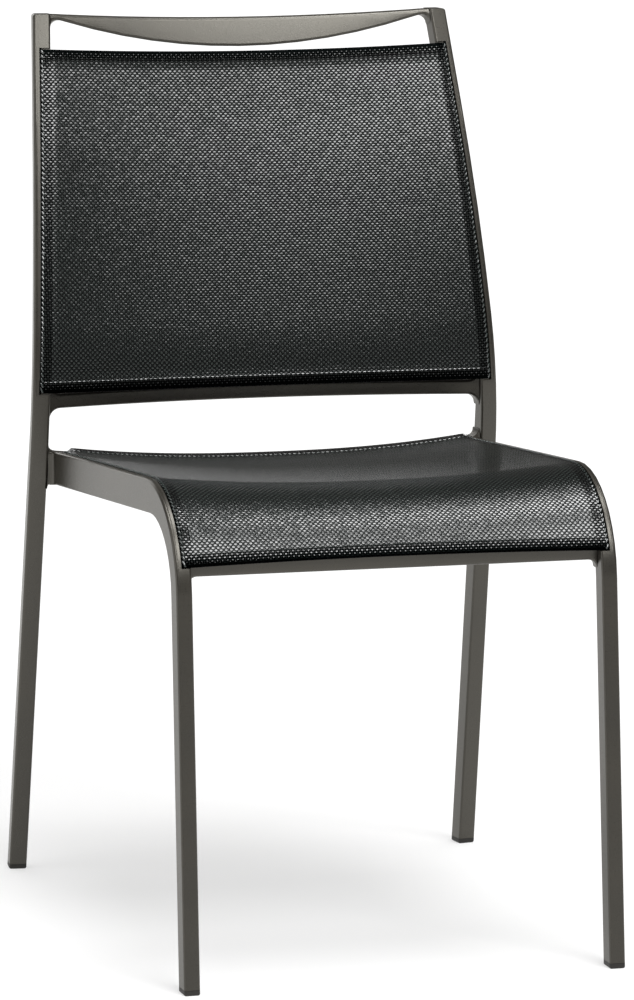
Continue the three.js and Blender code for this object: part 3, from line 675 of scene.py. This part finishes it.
def makeSling(sling):
    # Both halves as one sheet. Map "cloth" places the yarns, and "margin" gives the way to the edges
    edge = Edge(sling)
    mesh = bmesh.new()
    clothLayer = mesh.loops.layers.uv.new("cloth")
    marginLayer = mesh.loops.layers.uv.new("margin")
    grid = []
    for length, behind, flat in clothRows(edge):
        half = rowPoints(edge, length, behind)
        right = list(zip(half, widthsAlong(half)))
        left = [(mirrored(p, -1), -w) for p, w in right[1:]]
        halfWidth = right[-1][1]
        fromEnd = min(flat, edge.length - flat)
        grid.append([(mesh.verts.new(p), (w, flat), (halfWidth - abs(w), fromEnd))
                     for p, w in left[::-1] + right])
    for before, after in zip(grid, grid[1:]):
        for k in range(len(before) - 1):
            corners = [before[k], before[k + 1], after[k + 1], after[k]]
            face = mesh.faces.new([c[0] for c in corners])
            face.smooth = True
            for loop, corner in zip(face.loops, corners):
                loop[clothLayer].uv = corner[1]
                loop[marginLayer].uv = corner[2]
    data = bpy.data.meshes.new(sling["node"] + "_cloth")
    mesh.to_mesh(data)
    mesh.free()
    piece = addPiece(sling["node"] + "_cloth", data, cloth)
    solid = piece.modifiers.new("thickness", "SOLIDIFY")
    solid.thickness = clothSet["thickness"] * mm
    solid.offset = -1
    applyModifiers(piece)
    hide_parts(sling["node"])
    return piece, edge


backCloth, backEdge = makeSling(backSet)
seatCloth, seatEdge = makeSling(seatSet)
print("slings stretched")


# Yarn ends and stitches are small bent tubes: a size is half of the width and half of the thickness
wrapSet = {
    "pitch": 5.0,  # every second weft comes over the edge
    "size": (0.80, 0.55),
    "raise": 0.45,  # of the yarn's middle above the cloth's face
    "tip": 0.22,  # how far its flat side is turned up the chair
    # Across and above the rod's middle, and along the edge
    "path": [(0.75, 4.75, 1.9), (1.2, 5.35, 1.0), (1.9, 5.5, -0.5), (2.6, 5.3, -1.8)],
    "sides": 6,
    "jitter": 0.2,  # at most, along the edge, with less across and above
}
stitchSet = {
    "length": 3.2,
    "gap": 0.9,
    "size": (0.28, 0.18),
    "fromEnd": 8.5,
    "fromSide": 8,  # at least, from the last stitch to the cloth's side edge
    "raise": 0.10,  # of the thread's middle above the cloth, and of its ends below
    "bends": (0, 0.3, 0.7, 1),  # as shares of a stitch
    "sides": 6,
}
frayedSet = {
    "count": 9,
    "length": 7.0,  # of the longest end
    "shortest": 0.5,  # as a share of it
    "size": (0.3, 0.25),
    "first": 2,  # from the rod's middle to the first end
    "pitch": 1.2,
    "fromEnd": 5,  # at most
    "above": 5.6,
    "turn": 0.9,  # at most to either side, in radians
    "back": 0.6,  # how much the ends point to the rear,
    "up": 0.25,  # and upwards
    "bend": 1.5,  # at most, sideways
    "arch": 1.2,
    "steps": 4,
    "sides": 6,
}


def bentTube(mesh, points, facing, size, sides):
    # A tube through the points, its flat side turned to where it faces, closed by a tip at each end
    width, height = size[0] * mm, size[1] * mm
    turns = [2 * math.pi * side / sides for side in range(sides)]
    rings = []
    for k, point in enumerate(points):
        heading = (points[min(k + 1, len(points) - 1)] - points[max(k - 1, 0)]).normalized()
        across = heading.cross(facing).normalized()
        up = across.cross(heading)
        rings.append([mesh.verts.new(point + across * math.cos(a) * width + up * math.sin(a) * height)
                      for a in turns])
    for before, after in zip(rings, rings[1:]):
        for side in range(sides):
            nextSide = (side + 1) % sides
            mesh.faces.new([before[side], before[nextSide], after[nextSide], after[side]])
    for ring, point, nearby in ((rings[0], points[0], points[1]), (rings[-1], points[-1], points[-2])):
        tip = mesh.verts.new(point + (point - nearby).normalized() * height)
        for side in range(sides):
            mesh.faces.new([ring[side], ring[(side + 1) % sides], tip])


def finishTubes(mesh, name, material, smooth):
    bmesh.ops.recalc_face_normals(mesh, faces=mesh.faces)
    for face in mesh.faces:
        face.smooth = smooth
    data = bpy.data.meshes.new(name)
    mesh.to_mesh(data)
    mesh.free()
    return addPiece(name, data, material)


def makeWrap(edge, side, name):
    # The weft's ends, wrapped over the rod at the channel's mouth and leaning all one way
    random.seed(name)
    mesh = bmesh.new()
    count = int(edge.length / (wrapSet["pitch"] * mm))
    for k in range(count):
        length = edge.length * (k + 0.5) / count
        lift = clothSet["lap"] * doubled(edge, length) + wrapSet["raise"]
        jitter = [random.uniform(-wrapSet["jitter"], wrapSet["jitter"]) for _ in range(3)]
        points = [edge.place(length + (along + jitter[0]) * mm, across + jitter[1] / 2,
                             above + lift * min(across, 1) + jitter[2] / 3)
                  for across, above, along in wrapSet["path"]]
        heading, face = edge.at(length)[1:]
        facing = face + heading * (wrapSet["tip"] + jitter[0] / 3)
        bentTube(mesh, [mirrored(p, side) for p in points], mirrored(facing, side), wrapSet["size"],
                 wrapSet["sides"])
    return finishTubes(mesh, name, yarn, False)


def onRow(row, widths, width):
    # The place on a row that lies so far along it
    k = max(i for i in range(len(row) - 1) if widths[i] <= width)
    return row[k].lerp(row[k + 1], (width - widths[k]) / (widths[k + 1] - widths[k]))


def makeStitches(edge, name):
    # One row of lock stitches along each hem, on the cloth's face
    mesh = bmesh.new()
    step = (stitchSet["length"] + stitchSet["gap"]) * mm
    for length in (stitchSet["fromEnd"] * mm, edge.length - stitchSet["fromEnd"] * mm):
        row = rowPoints(edge, length, -stitchSet["raise"])
        widths = widthsAlong(row)
        face = edge.at(length)[2]
        sink = face * (2 * stitchSet["raise"] * mm)
        for k in range(int((widths[-1] - stitchSet["fromSide"] * mm) / step)):
            start = step * k + stitchSet["gap"] * mm / 2
            points = [onRow(row, widths, start + stitchSet["length"] * mm * part)
                      for part in stitchSet["bends"]]
            points[0], points[-1] = points[0] - sink, points[-1] - sink
            for side in (1, -1):
                bentTube(mesh, [mirrored(p, side) for p in points], mirrored(face, side),
                         stitchSet["size"], stitchSet["sides"])
    return finishTubes(mesh, name, thread, True)


def makeFrayed(edge, name):
    # Loose yarn ends at the seat's rear right corner, as in the photograph
    random.seed(name)
    mesh = bmesh.new()
    upwards = Vector((0, 0, 1))
    for k in range(frayedSet["count"]):
        start = edge.place(edge.length - random.uniform(0, frayedSet["fromEnd"]) * mm,
                           frayedSet["first"] + frayedSet["pitch"] * k,
                           frayedSet["above"] + clothSet["lap"])
        turn = random.uniform(-frayedSet["turn"], frayedSet["turn"])
        heading = Vector((math.sin(turn), math.cos(turn) * frayedSet["back"], frayedSet["up"])).normalized()
        sideways = heading.cross(upwards).normalized()
        bend = random.uniform(-frayedSet["bend"], frayedSet["bend"]) * mm
        reach = frayedSet["length"] * random.uniform(frayedSet["shortest"], 1) * mm
        points = []
        for step in range(frayedSet["steps"] + 1):
            t = step / frayedSet["steps"]
            bow = math.sin(math.pi * t)
            points.append(start + heading * reach * t + sideways * bend * bow
                          + upwards * (frayedSet["arch"] * mm * bow))
        bentTube(mesh, points, upwards, frayedSet["size"], frayedSet["sides"])
    return finishTubes(mesh, name, yarn, True)


backTrim = [makeWrap(backEdge, 1, "back_edge_yarn_right"), makeWrap(backEdge, -1, "back_edge_yarn_left"),
            makeStitches(backEdge, "back_hem_stitches")]
seatTrim = [makeWrap(seatEdge, 1, "seat_edge_yarn_right"), makeWrap(seatEdge, -1, "seat_edge_yarn_left"),
            makeStitches(seatEdge, "seat_hem_stitches"), makeFrayed(seatEdge, "seat_frayed_yarn")]
print("edges wrapped and hems stitched")


def flatSize(edge):
    # The cut: the middle row's width with both pockets, and the length with both hems turned in
    width = 2 * widthsAlong(rowPoints(edge, edge.length / 2, 0))[-1]
    return width, edge.length + 2 * clothSet["hem"] * mm


flatSize(backEdge)
flatSize(seatEdge)
